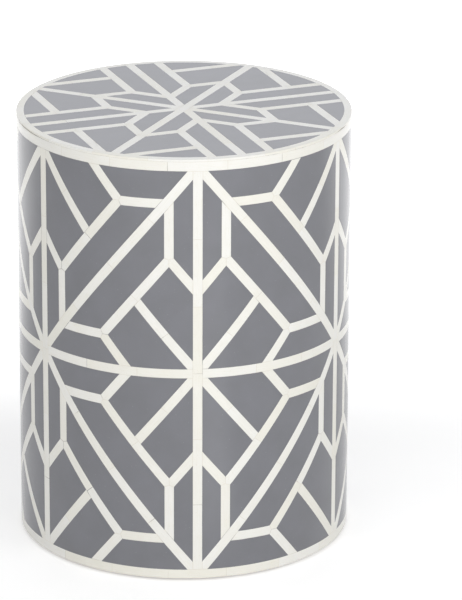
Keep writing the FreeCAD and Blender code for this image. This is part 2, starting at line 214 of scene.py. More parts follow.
@dataclass(frozen=True)
class Pattern:
    """Noise or cells whose features have a width and a length in millimetres.

    The length lies along Z, or along each strip where the pattern follows the grain.
    """

    width: float
    length: float
    detail: float = 0.0
    roughness: float = 0.5
    texture: Texture = Texture.NOISE
    on_grain: bool = False

    def add(self, tree: NodeTree) -> NodeSocket:
        """Add the nodes that draw the pattern: places divided by the features' sizes, at a scale of 1.

        Args:
            tree: Node tree of the material.

        Returns:
            Socket of the pattern's value.
        """
        across, along = 1 / (self.width * MM), 1 / (self.length * MM)
        if self.on_grain:
            place = add_node(tree, "UVMap", uv_map=GRAIN_NAME).outputs["UV"]
            scale = (along, across, across)
        else:
            place = add_node(tree, "TexCoord").outputs["Object"]
            scale = (across, across, along)
        sized = add_node(tree, "Mapping", {"Vector": place, "Scale": scale})
        drawn = add_node(tree, self.texture.value, {"Vector": sized.outputs[0], "Scale": 1.0,
                                                    "Detail": self.detail, "Roughness": self.roughness})
        return drawn.outputs[0]


@dataclass(frozen=True)
class Layer:
    """A colour, and the pattern and ramp that give its share over what lies under it."""

    colour: str
    pattern: Pattern | PieceShade
    ramp: Ramp


@dataclass(frozen=True)
class Grade:
    """Roughness that follows a pattern, from the ramp's low to its high level."""

    pattern: Pattern
    ramp: Ramp


@dataclass(frozen=True)
class Relief:
    """Bumps that follow a pattern, standing out or sunk, with their height in millimetres."""

    pattern: Pattern
    height: float
    strength: float
    sunk: bool = False


@dataclass(frozen=True)
class Finish:
    """A finish that makes its material once and hands it out.

    Its layers lie over the ground colour in turn. Its inputs are those of the shader that are the same
    all over.
    """

    name: str
    ground: str
    layers: tuple[Layer, ...]
    grade: Grade | None = None
    relief: Relief | None = None
    inputs: Feeds = field(default_factory=dict)

    def material(self) -> Material:
        """Give the finish's material, made at the first call.

        Returns:
            The material, named for what it is and how its surface was made.
        """
        found = bpy.data.materials.get(self.name)
        if found:
            return found
        made = bpy.data.materials.new(self.name)
        made.use_nodes = True
        feed(made.node_tree, made.node_tree.nodes["Principled BSDF"], self.shade(made.node_tree))
        return made

    def shade(self, tree: NodeTree) -> Feeds:
        """Draw each pattern once, lay the colours from the ground up, and grade and shape the surface.

        Args:
            tree: Node tree of the material.

        Returns:
            What feeds the inputs of its Principled shader.
        """
        values: dict[Pattern | PieceShade, NodeSocket] = {}
        for part in (*self.layers, self.grade, self.relief):
            if part is not None and part.pattern not in values:
                values[part.pattern] = part.pattern.add(tree)
        colour = linear(self.ground)
        # A Mix node's colours are its inputs 6 and 7 and its output 2
        for layer in self.layers:
            share = add_node(tree, "MapRange", layer.ramp.feeds(values[layer.pattern])).outputs[0]
            mixed = add_node(tree, "Mix", {0: share, 6: colour, 7: linear(layer.colour)}, data_type="RGBA")
            colour = mixed.outputs[2]
        feeds = {**self.inputs, "Base Color": colour}
        if self.grade:
            grade = add_node(tree, "MapRange", self.grade.ramp.feeds(values[self.grade.pattern]))
            feeds["Roughness"] = grade.outputs[0]
        if self.relief:
            bump = add_node(tree, "Bump", {
                "Height": values[self.relief.pattern], "Strength": self.relief.strength,
                "Distance": self.relief.height * MM}, invert=self.relief.sunk)
            feeds["Normal"] = bump.outputs[0]
        return feeds


# Bleached camel bone, sanded flush and polished: warm white, with clouds of cream and faint fibres along
# each strip. Real fibres are about 0.2 mm wide and pores 0.1 mm. Both are drawn coarser, so that they
# show.
BONE_CREAM = "#F1EEE1"
BONE_CLOUDS = Pattern(width=22.0, length=22.0, detail=3.0)
BONE_FIBRES = Pattern(width=0.9, length=16.0, detail=4.0, on_grain=True)
BONE_PORES = Pattern(width=1.3, length=4.0, texture=Texture.CELLS, on_grain=True)
BONE = Finish(
    "camel_bone_sanded_and_polished", ground="#F5F4EF",
    layers=(Layer(BONE_CREAM, PieceShade(), Ramp(0.3, 1.0, high=0.6)),
            Layer(BONE_CREAM, BONE_CLOUDS, Ramp(0.45, 0.75, high=0.35)),
            Layer("#E8E4D4", BONE_FIBRES, Ramp(0.5, 0.8, high=0.5)),
            Layer("#D6CDB6", BONE_PORES, Ramp(0.16, 0.05, high=0.55))),
    grade=Grade(BONE_FIBRES, Ramp(low=0.18, high=0.28)),
    relief=Relief(BONE_FIBRES, height=0.015, strength=0.4), inputs={"IOR": 1.55})

# Grey polyester resin, cast between the bones and polished: even and glossy, with long upright waves from
# hand polishing. Its flecks are sanding dust in pinholes. Real ones are 0.1 to 0.3 mm wide, and these are
# drawn coarser, so that they show.
FLECK_SPACING = 5.0
FLECK_SIZE = 0.6
FLECK_REACH = FLECK_SIZE / FLECK_SPACING / 2
RESIN_CLOUDS = Pattern(width=35.0, length=35.0, detail=4.0)
RESIN_FLECKS = Pattern(width=FLECK_SPACING, length=FLECK_SPACING, texture=Texture.CELLS)
RESIN_WAVES = Pattern(width=7.0, length=90.0, detail=2.0)
RESIN = Finish(
    "grey_resin_cast_and_polished", ground="#76777C",
    layers=(Layer("#7B7C82", RESIN_CLOUDS, Ramp()),
            Layer("#A3A4A8", RESIN_FLECKS, Ramp(FLECK_REACH, FLECK_REACH / 2))),
    grade=Grade(RESIN_WAVES, Ramp(low=0.12, high=0.2)),
    relief=Relief(RESIN_WAVES, height=0.02, strength=0.5), inputs={"IOR": 1.56})

# Resin glue in the hairline joints, sanded with the bones: a dull grey that sanding dust pales in patches
GLUE = Finish(
    "resin_glue_sanded_in_joints", ground="#9C9A96",
    layers=(Layer("#E3DED2", Pattern(width=26.0, length=26.0, detail=2.0), Ramp(0.32, 0.46)),),
    inputs={"Roughness": 0.5, "IOR": 1.5})

# Glue that has browned in the seam under the top's ring: a thin dark line, paler where dust fills it
SEAM = replace(
    GLUE, name="brown_glue_sanded_in_rim_seam", ground="#5E554D",
    layers=(Layer("#B9AFA0", Pattern(width=18.0, length=18.0, detail=2.0), Ramp(0.42, 0.62)),))

# Fibreboard, sawn: dull brown, broken up by wide blotches and fine specks of fibre
BLOTCHES = Pattern(width=40.0, length=40.0, detail=3.0)
BLOTCHING = Ramp(0.0, 1.0)
SPECKS = Pattern(width=1.2, length=1.2, detail=6.0, roughness=0.7)
SPECKING = Ramp(0.5, 0.75)
FIBREBOARD = Finish(
    "fibreboard_sawn", ground="#AD8F6C",
    layers=(Layer("#BA9E7C", BLOTCHES, BLOTCHING), Layer("#8D7050", SPECKS, SPECKING)),
    grade=Grade(SPECKS, Ramp(low=0.7, high=0.9)),
    relief=Relief(SPECKS, height=0.05, strength=0.5), inputs={"IOR": 1.5})

# Fibreboard, bent and left raw: the same, a little paler
BENT_BOARD = replace(
    FIBREBOARD, name="fibreboard_bent_raw", ground="#B29779",
    layers=(Layer("#BCA486", BLOTCHES, BLOTCHING), Layer("#977B5B", SPECKS, SPECKING)))

# Black nylon, moulded: nearly even, with a soft shine from the mould's fine grain. Real grain is about
# 0.1 mm wide, and this is drawn coarser, so that it shows.
NYLON_SPECKS = replace(SPECKS, width=0.8, length=0.8)
NYLON = Finish(
    "black_nylon_moulded", ground="#3D3D3D",
    layers=(Layer("#444444", BLOTCHES, BLOTCHING), Layer("#333333", NYLON_SPECKS, SPECKING)),
    grade=Grade(NYLON_SPECKS, Ramp(low=0.45, high=0.6)),
    relief=Relief(NYLON_SPECKS, height=0.02, strength=0.5), inputs={"IOR": 1.53})

# Pine, planed: pale growth bands and darker, sunk resin streaks that run upright. Real streaks are about
# 0.3 mm wide, and these are drawn coarser, so that they show.
PINE_BANDS = Pattern(width=5.0, length=120.0, detail=3.0)
PINE_STREAKS = Pattern(width=0.6, length=14.0, detail=2.0)
SOFTWOOD = Finish(
    "softwood_planed", ground="#D9BC93",
    layers=(Layer("#C29A6B", PINE_BANDS, Ramp(0.35, 0.65)), Layer("#A67C4E", PINE_STREAKS, Ramp(0.6, 0.72))),
    grade=Grade(PINE_BANDS, Ramp(low=0.55, high=0.75)),
    relief=Relief(PINE_STREAKS, height=0.08, strength=0.4, sunk=True), inputs={"IOR": 1.5})

# Zinc-plated steel wire, headed in a die: a pale metal with dull patches in the plating
ZINC_PATCHES = Pattern(width=2.0, length=2.0, detail=4.0)
STEEL = Finish(
    "zinc_plated_steel_headed", ground="#C9CACC", layers=(Layer("#9FA1A3", ZINC_PATCHES, Ramp(0.0, 1.0)),),
    grade=Grade(ZINC_PATCHES, Ramp(low=0.28, high=0.5)), inputs={"Metallic": 1.0})


def solids_of(node_name: str) -> list[Array]:
    """Corner points of each closed solid in a CAD node.

    Points less than a micron apart count as one. Then the lowest point number spreads over every triangle
    until nothing changes, so that all points of one solid end with one number.

    Args:
        node_name: Node in the frame.

    Returns:
        One array of points for each solid, in the order of the mesh.
    """
    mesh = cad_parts[node_name].data
    points = np.empty(len(mesh.vertices) * 3, np.float32)
    mesh.vertices.foreach_get("co", points)
    corners = np.empty(len(mesh.loops), np.int32)
    mesh.loops.foreach_get("vertex_index", corners)
    steps = np.round(points.reshape(-1, 3).astype(float) / WELD)
    merged, numbers = np.unique(steps, axis=0, return_inverse=True)
    triangles = numbers.reshape(-1)[corners].reshape(-1, 3)
    labels = np.arange(len(merged))
    settled = False
    while not settled:
        spread = labels.copy()
        np.minimum.at(spread, triangles, labels[triangles].min(axis=1)[:, None])
        settled = np.array_equal(spread, labels)
        labels = spread
    return [merged[labels == label] * WELD for label in np.unique(labels)]


def convex_corners(flat: Array) -> Array:
    """Corners of the convex outline round flat points.

    A corner stays where it stands out from the chord between its neighbours: twice the triangle's area,
    divided by the chord.

    Args:
        flat: Points in a flat layout.

    Returns:
        Corners in anticlockwise order.
    """
    hull = flat[convex_hull_2d(flat.tolist())]
    hull = hull[np.linalg.norm(hull - np.roll(hull, 1, axis=0), axis=1) > STRAIGHT]
    before = hull - np.roll(hull, 1, axis=0)
    after = np.roll(hull, -1, axis=0) - hull
    twice_area = before[:, 0] * after[:, 1] - before[:, 1] * after[:, 0]
    return hull[twice_area / np.linalg.norm(before + after, axis=1) > STRAIGHT]


def unit(vectors: Array) -> Array:
    """Vectors of length one in the same directions."""
    return vectors / np.linalg.norm(vectors, axis=-1, keepdims=True)


def inward_normals(ring: Array) -> Array:
    """Unit normals of a ring's edges: each edge's direction, turned left by a quarter."""
    along = unit(np.roll(ring, -1, axis=0) - ring)
    return np.stack([-along[:, 1], along[:, 0]], axis=1)


def inward_mitres(ring: Array, longest: float = 3.0, least_divisor: float = 0.05) -> Array:
    """Vectors that carry each point of an anticlockwise ring inwards by one unit of offset.

    The sum of the two neighbouring edges' inward normals, divided by one plus their dot product.

    Args:
        ring: Points of a closed ring.
        longest: Most that a sharp corner moves for one unit of offset.
        least_divisor: Least that the sum is divided by, where the ring folds back on itself.

    Returns:
        One vector for each point.
    """
    normal = inward_normals(ring)
    before = np.roll(normal, 1, axis=0)
    mitre = (normal + before) / np.maximum(1 + (normal * before).sum(axis=1), least_divisor)[:, None]
    length = np.linalg.norm(mitre, axis=1)
    return mitre * np.minimum(1, longest / length)[:, None]


def angles_round_axis(points: Array) -> tuple[float, Array]:
    """Direction of points from the drum's axis, and each point's angle from that direction.

    The direction is that of the points' sum. They are turned back by it first, so that no angle wraps round.

    Args:
        points: Places in the frame.

    Returns:
        Angle of the direction, and one angle for each point.
    """
    middle = math.atan2(*points[:, 1::-1].sum(axis=0))
    cosine, sine = math.cos(middle), math.sin(middle)
    level = points[:, :2] @ np.array([[cosine, -sine], [sine, cosine]])
    return middle, np.arctan2(level[:, 1], level[:, 0])


def carried_round(section: Array, turn: Array) -> Array:
    """Carry radii and heights round the drum's axis: radius times cosine and sine, height as it is.

    Args:
        section: Radii and heights, the same for all rows or one set for each.
        turn: Cosine and sine of each row's angle.

    Returns:
        Array of rows, points of the section, and three numbers.
    """
    level = section[..., :1] * turn[:, None]
    height = np.broadcast_to(section[..., 1:], (*level.shape[:2], 1))
    return np.concatenate([level, height], axis=2)


@dataclass(frozen=True)
class ColumnRing:
    """A convex outline cut into columns: its points, and where each column starts and ends among them."""

    points: Array
    low: Array
    high: Array

    @classmethod
    def cut(cls, corners: Array, step: float) -> "ColumnRing":
        """Cut a convex outline at its corners and at even steps between them.

        The columns run along the second axis. Column ends are read by linear interpolation off the lower and
        the upper chain of corners, which both run from the leftmost to the rightmost corner.

        Args:
            corners: Corners in anticlockwise order.
            step: Largest width of a column.

        Returns:
            The ring, with one point instead of two where the outline comes to a point.
        """
        rounded = np.round(corners, SORT_DECIMALS)
        order = np.roll(corners, -np.lexsort((rounded[:, 1], rounded[:, 0]))[0], axis=0)
        rounded = np.round(order, SORT_DECIMALS)
        far = np.lexsort((rounded[:, 1], -rounded[:, 0]))[0]
        lower = order[:far + 1]
        upper = np.vstack([order[far:], order[:1]])[::-1]
        upper = upper[int(upper[1, 0] - upper[0, 0] < STRAIGHT):]
        upper = upper[:len(upper) - int(upper[-1, 0] - upper[-2, 0] < STRAIGHT)]
        places = np.unique(np.concatenate([lower[:, 0], upper[:, 0]]))
        places = places[np.diff(places, prepend=-np.inf) > 2 * STRAIGHT]
        counts = np.ceil(np.diff(places) / step).astype(int)
        columns = np.interp(np.arange(counts.sum() + 1), np.concatenate([[0], np.cumsum(counts)]), places)
        bottoms = np.interp(columns, lower[:, 0], lower[:, 1])
        tops = np.interp(columns, upper[:, 0], upper[:, 1])
        pointed = tops - bottoms < 2 * STRAIGHT
        above = np.stack([columns, tops], axis=1)[~pointed][::-1]
        points = np.vstack([np.stack([columns, bottoms], axis=1), above])
        low = np.arange(len(columns))
        high = np.where(pointed, low, len(points) - np.cumsum(~pointed))
        return cls(points, low, high)

    def fill(self, first: int, upside_down: bool) -> list[Array]:
        """Faces between neighbouring columns.

        Args:
            first: Number of the ring's first point in its mesh.
            upside_down: Whether the faces look the other way.

        Returns:
            Quads, and triangles at pointed ends.
        """
        quads = np.stack([self.low[:-1], self.low[1:], self.high[1:], self.high[:-1]], axis=1) + first
        left = quads[:, 0] == quads[:, 3]
        right = quads[:, 1] == quads[:, 2]
        faces = [quads[~left & ~right], quads[left][:, :3], quads[right][:, [0, 1, 3]]]
        return [group[:, ::-1] if upside_down else group for group in faces if len(group)]


@dataclass
class PieceMesh:
    """Points, faces and finishes of one piece, gathered from its parts."""

    points: list[Array] = field(default_factory=list)
    grain: list[Array] = field(default_factory=list)
    shade: list[Array] = field(default_factory=list)
    faces: list[Array] = field(default_factory=list)
    normals: list[Array] = field(default_factory=list)
    coats: list[Array] = field(default_factory=list)
    count: int = 0

    def add_points(self, points: Array, grain: Array, shade: float) -> int:
        """Add points with their places along and across the grain and the piece's own shade.

        Args:
            points: Places in the frame.
            grain: Places along and across the grain.
            shade: A number from 0 to 1 that tells strips apart.

        Returns:
            Number of the first point added.
        """
        first = self.count
        self.points.append(points)
        self.grain.append(grain)
        self.shade.append(np.full(len(points), shade))
        self.count += len(points)
        return first

    def add_faces(self, faces: Array, normals: Array, coat: Coat = Coat.FACE) -> None:
        """Add faces of one size, with a normal for each corner.

        Args:
            faces: Point numbers, one row for each face.
            normals: Directions, one for each entry of faces.
            coat: Which of the piece's finishes they take.
        """
        self.faces.append(faces)
        self.normals.append(normals.reshape(-1, 3))
        self.coats.append(np.full(len(faces), coat))

    def make(self, name: str, finishes: list[Finish]) -> Object:
        """Make the object, at the origin, with its UV map, its attribute and its normals.

        Args:
            name: Name of the piece.
            finishes: Its finishes, in the order of the coats.

        Returns:
            The object, linked into the scene.
        """
        mesh = bpy.data.meshes.new(name)
        faces = [face for group in self.faces for face in group.tolist()]
        mesh.from_pydata(np.vstack(self.points).tolist(), [], faces)
        corners = np.concatenate([group.reshape(-1) for group in self.faces])
        grain = mesh.uv_layers.new(name=GRAIN_NAME)
        grain.data.foreach_set("uv", np.vstack(self.grain)[corners].astype(np.float32).reshape(-1))
        shade = mesh.attributes.new(SHADE_NAME, "FLOAT", "POINT")
        shade.data.foreach_set("value", np.concatenate(self.shade).astype(np.float32))
        mesh.polygons.foreach_set("material_index", np.concatenate(self.coats).astype(np.int32))
        mesh.polygons.foreach_set("use_smooth", np.ones(len(faces), bool))
        mesh.normals_split_custom_set(np.vstack(self.normals).tolist())
        for finish in finishes:
            mesh.materials.append(finish.material())
        return add_object(name, mesh)


def clothe(node: Object, material: Material) -> None:
    """Put a material in place of a CAD node's own."""
    node.data.materials.clear()
    node.data.materials.append(material)


def stand_for(piece: Object, node: str, stuff: Stuff) -> Object:
    """Let a piece ride on the table in place of its CAD node, which takes the finish of the piece's face.

    Args:
        piece: The new piece.
        node: Node that it stands for.
        stuff: What it is made of. Not used.

    Returns:
        The piece.
    """
    clothe(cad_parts[node], piece.data.materials[Coat.FACE])
    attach(piece, BODY)
    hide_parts(node)
    return piece


@dataclass(frozen=True)
class Ground(ABC):
    """Polished surface that inlay pieces lie in, with a flat layout of two lengths."""

    thickness: float

    @abstractmethod
    def flatten(self, points: Array) -> Array:
        """Places of frame points in the flat layout."""

    @abstractmethod
    def place(self, flat: Array, depth: float) -> Array:
        """Frame points of flat places, at a depth under the polished surface."""

    @abstractmethod
    def axes(self, flat: Array) -> tuple[Array, Array, Array]:
        """Directions of the layout's two axes and of the surface's normal at flat places."""


@dataclass(frozen=True)
class RoundSide(Ground):
    """Side of the drum. The layout is arc length round it, and height."""

    radius: float

    def flatten(self, points: Array) -> Array:
        """Arc length is the radius times the angle round the axis."""
        middle, angle = angles_round_axis(points)
        return np.stack([self.radius * (middle + angle), points[:, 2]], axis=1)

    def place(self, flat: Array, depth: float) -> Array:
        """Radius less depth, turned by the angle of the arc length, at the layout's height."""
        outwards = self.axes(flat)[2]
        return outwards * (self.radius - depth) + flat[:, 1:] * (0, 0, 1)

    def axes(self, flat: Array) -> tuple[Array, Array, Array]:
        """Along the circle, up, and away from the drum's axis.

        Args:
            flat: Places in the flat layout.

        Returns:
            Three arrays of directions, one for each place.
        """
        angle = flat[:, 0] / self.radius
        level = np.zeros_like(angle)
        outwards = np.stack([np.cos(angle), np.sin(angle), level], axis=1)
        around = np.stack([-np.sin(angle), np.cos(angle), level], axis=1)
        return around, np.broadcast_to((0.0, 0.0, 1.0), around.shape), outwards


@dataclass(frozen=True)
class FlatTop(Ground):
    """Top of the drum. The layout is X and Y."""

    height: float

    def flatten(self, points: Array) -> Array:
        """X and Y as they are."""
        return points[:, :2]

    def place(self, flat: Array, depth: float) -> Array:
        """X and Y as they are, at the top's height less depth."""
        return np.column_stack([flat, np.full(len(flat), self.height - depth)])

    def axes(self, flat: Array) -> tuple[Array, Array, Array]:
        """X, Y and Z everywhere."""
        x, y, z = (np.broadcast_to(axis, (len(flat), 3)) for axis in np.eye(3))
        return x, y, z


@dataclass(frozen=True)
class GlueJoint:
    """Hairline joint round a bone: a sunk margin of glue, and the bone's own eased edge."""

    margin: float = 0.125 * MM
    depth: float = 0.1 * MM
    eased_depth: float = 0.08 * MM
    eased_width: float = 0.16 * MM


@dataclass
class Inlay:
    """Bone and resin pieces that lie in one polished surface.

    A bone's edges are skewed by a share of the cutting error, and its face slopes a little by its tilt.
    """

    ground: Ground
    names: list[str]
    joint: GlueJoint = GlueJoint()
    column_width: float = 6.0 * MM
    hand_cut: float = 0.22 * MM
    hand_skew: float = 0.3
    hand_tilt: float = 0.004
    seed: int = 7

    def build(self) -> Iterator[Object]:
        """Rebuild each inlay node as one piece that stands for it.

        Yields:
            The finished pieces.
        """
        for number, name in enumerate(self.names):
            stuff = Stuff.of(name)
            chance = np.random.default_rng([self.seed, number])
            gathered = PieceMesh()
            for solid in solids_of(name):
                corners = convex_corners(self.ground.flatten(solid))
                if stuff is Stuff.BONE:
                    self.lay_bone(gathered, corners, chance)
                else:
                    self.lay_resin(gathered, corners, chance)
            finishes = [BONE, GLUE] if stuff is Stuff.BONE else [RESIN]
            yield stand_for(gathered.make(f"{name}_polished", finishes), name, stuff)

    def grain_axes(self, corners: Array) -> Array:
        """Unit directions along and across a piece: along its longest edge, and a quarter turn from it.

        Args:
            corners: Outline in the flat layout.

        Returns:
            The two directions, as columns.
        """
        edges = np.roll(corners, -1, axis=0) - corners
        along = unit(edges[np.linalg.norm(edges, axis=1).argmax()])
        return np.stack([along, [-along[1], along[0]]], axis=1)

    def hand_cut_insets(self, ring: Array, axes: Array, chance: Generator) -> Array:
        """How far a bone's edge lies inside its outline at each point of the ring.

        Half the cutting error, more or less by a random share of the place along the bone, of the side, and
        of their product, so that each long edge runs straight but not quite parallel.

        Args:
            ring: Points of the outline.
            axes: Unit directions along and across the bone, as columns.
            chance: Source of random numbers.

        Returns:
            Insets, none below zero.
        """
        centred = (ring - ring.mean(axis=0)) @ axes
        along, side = (centred / np.abs(centred).max(axis=0)).T
        shares = chance.uniform(-self.hand_skew, self.hand_skew, 3)
        return self.hand_cut * np.maximum(0.5 + np.stack([along, side, along * side], axis=1) @ shares, 0)

    def lay_bone(self, gathered: PieceMesh, corners: Array, chance: Generator) -> None:
        """Add a bone: an eased, polished face in a thin margin of glue.

        Four rings follow the outline, each a step in and up from the last: the back and the lip of the glue
        margin, the foot of the eased edge and the face.

        Args:
            gathered: Mesh of the whole piece.
            corners: Outline in the flat layout.
            chance: Source of random numbers.
        """
        joint = self.joint
        ring = ColumnRing.cut(corners, self.column_width)
        mitre = inward_mitres(ring.points)
        axes = self.grain_axes(corners)
        inset = self.hand_cut_insets(ring.points, axes, chance)
        margin = np.full(len(inset), -joint.margin)
        rows = [(margin, self.ground.thickness), (margin, joint.depth), (inset, joint.eased_depth),
                (inset + joint.eased_width, 0.0)]
        flats = [ring.points + offset[:, None] * mitre for offset, _ in rows]
        points = [self.ground.place(flat, depth) for flat, (_, depth) in zip(flats, rows)]
        grain = np.vstack(flats) @ axes + chance.uniform(size=2)
        first = gathered.add_points(np.vstack(points), grain, chance.uniform())
        around, up, normal = self.ground.axes(ring.points)
        tilt = chance.normal(0, self.hand_tilt, 2)
        face_normal = unit(normal + tilt[0] * around + tilt[1] * up)
        outward = self.outward_normals(ring.points)
        level, face_level = (directions[:, None].repeat(2, 1) for directions in (normal, face_normal))
        bands = [(outward, outward, Coat.FACE), (level, level, Coat.JOINT),
                 (unit(outward + level), face_level, Coat.FACE)]
        self.add_skin(gathered, ring, first, bands, face_normal)

    def lay_resin(self, gathered: PieceMesh, corners: Array, chance: Generator) -> None:
        """Add a resin field: a polished face, straight walls and a back, on two rings along the outline.

        Args:
            gathered: Mesh of the whole piece.
            corners: Outline in the flat layout.
            chance: Source of random numbers.
        """
        ring = ColumnRing.cut(corners, self.column_width)
        points = [self.ground.place(ring.points, depth) for depth in (self.ground.thickness, 0.0)]
        first = gathered.add_points(np.vstack(points), np.tile(ring.points, (2, 1)), chance.uniform())
        outward = self.outward_normals(ring.points)
        face_normal = self.ground.axes(ring.points)[2]
        self.add_skin(gathered, ring, first, [(outward, outward, Coat.FACE)], face_normal)

    def outward_normals(self, ring: Array) -> Array:
        """Frame directions out of each edge of a ring, at its start and at its end.

        Args:
            ring: Points of the outline in the flat layout.

        Returns:
            Array of edges, two ends and three numbers.
        """
        normal = -inward_normals(ring)
        around, up, _ = self.ground.axes(ring)
        at_start = normal[:, :1] * around + normal[:, 1:] * up
        at_end = normal[:, :1] * np.roll(around, -1, axis=0) + normal[:, 1:] * np.roll(up, -1, axis=0)
        return np.stack([at_start, at_end], axis=1)

    def add_skin(self, gathered: PieceMesh, ring: ColumnRing, first: int, bands: list[Band],
                 face_normal: Array) -> None:
        """Add the quads from each ring to the next, the face on the last ring and the back on the first.

        Args:
            gathered: Mesh of the whole piece.
            ring: Outline with its columns.
            first: Number of the first ring's first point.
            bands: Bands from ring to ring, the lowest first.
            face_normal: Normals of the face at the ring's points.
        """
        count = len(ring.points)
        start = first + np.arange(count)
        for lower, upper, coat in bands:
            end = np.roll(start, -1)
            quads = np.stack([start, end, end + count, start + count], axis=1)
            corner_normals = np.stack([lower[:, 0], lower[:, 1], upper[:, 1], upper[:, 0]], axis=1)
            gathered.add_faces(quads, corner_normals, coat)
            start = start + count
        back_normal = -self.ground.axes(ring.points)[2]
        for point, normal, upside_down in ((start[0], face_normal, False), (first, back_normal, True)):
            for faces in ring.fill(point, upside_down):
                gathered.add_faces(faces, normal[faces - point])


@dataclass
class TopRim:
    """Ring of bones round the top, its outer edge eased, worked out from the ring's own node.

    A bone's section starts with its inner bottom corner. The seam's edge and upper corner follow, then the
    quarter round of the eased edge, and last the inner top corner. The seam's gapes are in degrees round
    the drum's axis.
    """

    seam_edge: ClassVar[int] = 1
    seam_corner: ClassVar[int] = 2
    arc_start: ClassVar[int] = 3

    name: str = "top_rim_bones"
    joint: GlueJoint = GlueJoint()
    segment_angle: float = math.radians(1.5)
    arc_steps: int = 4
    seam_depth: float = 0.25 * MM
    seam_height: float = 0.18 * MM
    gape_height: float = 1.1 * MM
    gape_angles: tuple[float, ...] = (-162.0, -27.0, 38.0, 131.0)
    gape_spreads: tuple[float, ...] = (10.0, 4.0, 7.0, 5.0)
    seed: int = 11

    def build(self) -> Iterator[Object]:
        """Rebuild the ring as one piece of separate bones.

        Yields:
            The finished piece.
        """
        chance = np.random.default_rng(self.seed)
        gathered = PieceMesh()
        for solid in solids_of(self.name):
            self.lay_bone(gathered, solid, chance)
        yield stand_for(gathered.make(f"{self.name}_polished", [BONE, GLUE, SEAM]), self.name, Stuff.BONE)

    def seam_heights(self, angle: Array) -> Array:
        """Height of the glue seam under the ring: even, with bell-shaped gapes at a few places.

        Args:
            angle: Angles round the drum's axis.

        Returns:
            One height for each angle.
        """
        apart = np.degrees(angle)[:, None] - np.array(self.gape_angles)
        shares = ((apart + 180) % 360 - 180) / np.array(self.gape_spreads)
        return self.seam_height + self.gape_height * np.exp(-shares ** 2).sum(axis=1)

    def section(self, solid: Array) -> Array:
        """A bone's section as radii and heights, anticlockwise: a rectangle with a seam and a quarter round.

        Args:
            solid: Points of one bone.

        Returns:
            Corners, the quarter round's points among them.
        """
        radius, height = np.hypot(solid[:, 0], solid[:, 1]), solid[:, 2]
        inner, outer, bottom, top = radius.min(), radius.max(), height.min(), height.max()
        easing = outer - radius[height > top - STRAIGHT].max()
        angle = np.linspace(0, math.pi / 2, self.arc_steps + 1)
        arc = (outer - easing, top - easing) + easing * np.stack([np.cos(angle), np.sin(angle)], axis=1)
        seam = [[outer - self.seam_depth, bottom], [outer, bottom + self.seam_height]]
        return np.vstack([[[inner, bottom]], seam, arc, [[inner, top]]])

    def rows(self, solid: Array, outer: float) -> tuple[Array, Array]:
        """Places of a bone's section along it: even steps, then an eased edge and glue at each end.

        Args:
            solid: Points of one bone.
            outer: Outer radius of the ring.

        Returns:
            Angle of each row round the drum's axis, and how far its section is drawn in.
        """
        middle, angle = angles_round_axis(solid)
        foot = np.abs(angle).max()
        back = foot + self.joint.margin / outer
        face = foot - self.joint.eased_width / outer
        steps = math.ceil(2 * face / self.segment_angle)
        angle = np.concatenate([[-back, -foot], np.linspace(-face, face, steps + 1), [foot, back]])
        inset = np.zeros(len(angle))
        inset[[0, -1]] = self.joint.depth
        inset[[1, -2]] = self.joint.eased_depth
        return middle + angle, inset

    def lay_bone(self, gathered: PieceMesh, solid: Array, chance: Generator) -> None:
        """Add a bone: its section carried round the drum's axis, drawn in a little at its ends for the glue.

        Args:
            gathered: Mesh of the whole piece.
            solid: Points of one bone.
            chance: Source of random numbers.
        """
        section = self.section(solid)
        outer = section[:, 0].max()
        angle, inset = self.rows(solid, outer)
        drawn = section + inset[:, None, None] * inward_mitres(section)
        drawn[:, self.seam_corner, 1] += self.seam_heights(angle) - self.seam_height
        turn = np.stack([np.cos(angle), np.sin(angle)], axis=1)
        points = carried_round(drawn, turn).reshape(-1, 3)
        across = np.linalg.norm(np.diff(section, axis=0, append=section[:1]), axis=1).cumsum()
        grain = np.stack(np.broadcast_arrays((angle * outer)[:, None], across), axis=2).reshape(-1, 2)
        first = gathered.add_points(points, grain + chance.uniform(size=2), chance.uniform())
        self.add_skin(gathered, first, section, turn)

    def add_skin(self, gathered: PieceMesh, first: int, section: Array, turn: Array) -> None:
        """Add the quads along a bone and the caps at its ends, with glue at both ends and in the seam.

        Args:
            gathered: Mesh of the whole piece.
            first: Number of the bone's first point.
            section: Section of the bone.
            turn: Cosine and sine of each row's angle.
        """
        count = len(section)
        start = first + np.arange(len(turn) * count).reshape(-1, count)
        end = np.roll(start, -1, axis=1)
        quads = np.stack([start[:-1], start[1:], end[1:], end[:-1]], axis=2)
        normals = self.corner_normals(section, turn)
        coats = np.full(quads.shape[:2], Coat.FACE)
        coats[[0, -1]] = Coat.JOINT
        coats[:, self.seam_edge] = Coat.SEAM
        for coat in Coat:
            gathered.add_faces(quads[coats == coat], normals[coats == coat], coat)
        for row, step in ((0, 1), (-1, -1)):
            outward = -step * np.array([-turn[row, 1], turn[row, 0], 0.0])
            gathered.add_faces(start[row][None, ::step], np.broadcast_to(outward, (count, 3)), Coat.JOINT)

    def corner_normals(self, section: Array, turn: Array) -> Array:
        """Normals for each quad's corners: the section's edge normals, rounded over the eased edge, turned.

        Args:
            section: Section of the bone.
            turn: Cosine and sine of each row's angle.

        Returns:
            Array of rows, section edges, four corners and three numbers.
        """
        edge = -inward_normals(section)
        at_start, at_end = edge.copy(), edge.copy()
        arc_end = self.arc_start + self.arc_steps
        eased = np.arange(self.arc_start, arc_end)
        centre = np.array([section[arc_end, 0], section[self.arc_start, 1]])
        at_start[eased] = unit(section[eased] - centre)
        at_end[eased] = unit(section[eased + 1] - centre)
        start, end = (carried_round(normal, turn) for normal in (at_start, at_end))
        return np.stack([start[:-1], start[1:], end[1:], end[:-1]], axis=2)


